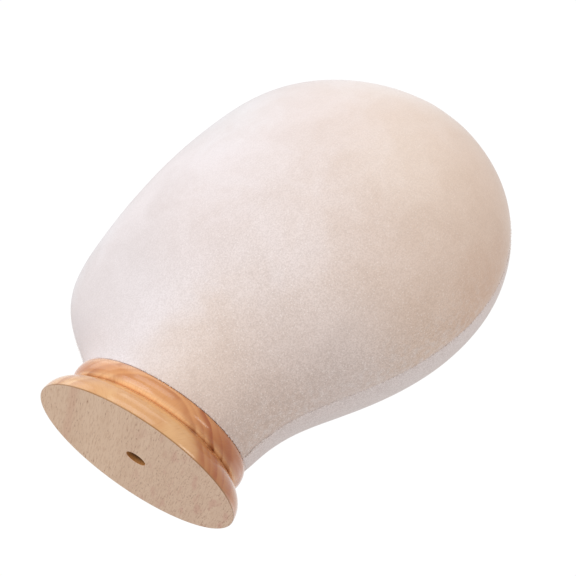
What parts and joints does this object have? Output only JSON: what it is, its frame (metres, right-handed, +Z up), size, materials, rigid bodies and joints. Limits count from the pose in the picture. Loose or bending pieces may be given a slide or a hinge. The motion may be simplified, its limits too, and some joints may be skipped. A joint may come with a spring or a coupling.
{
  "type": "hat stand",
  "caption": "Faceless velvet-covered head form on a turned wooden base, to display a hat or wig; rests on its flat base.",
  "frame": {"origin": "on the surface that the base rests on, below the middle of the whole object's box; the base's own axis stands at x 0, y -13.9 mm", "axes": "+Z up through the crown, -Y the way the face would look, +X the head's own left side"},
  "size_m": [0.1518, 0.2082, 0.265],
  "materials": {
    "lacquered_wood": "clear lacquer, gloss, on the turned sides; raw sanded wood underneath",
    "plywood": "raw",
    "foam": "rigid foam, matt",
    "velvet": "short-pile velvet, pale beige",
    "zinc_steel": "zinc plated"
  },
  "bodies": {
    "root": {"base": "lacquered_wood", "fixing_screw": "zinc_steel", "washer": "zinc_steel", "threaded_insert": "zinc_steel", "neck_plug": "plywood", "foam_core": "foam", "velvet_left": "velvet", "velvet_right": "velvet", "staple_01": "zinc_steel", "staple_02": "zinc_steel", "staple_03": "zinc_steel", "staple_04": "zinc_steel", "staple_05": "zinc_steel", "staple_06": "zinc_steel", "staple_07": "zinc_steel", "staple_08": "zinc_steel", "staple_09": "zinc_steel", "staple_10": "zinc_steel", "staple_11": "zinc_steel", "staple_12": "zinc_steel"}
  },
  "joints": []
}
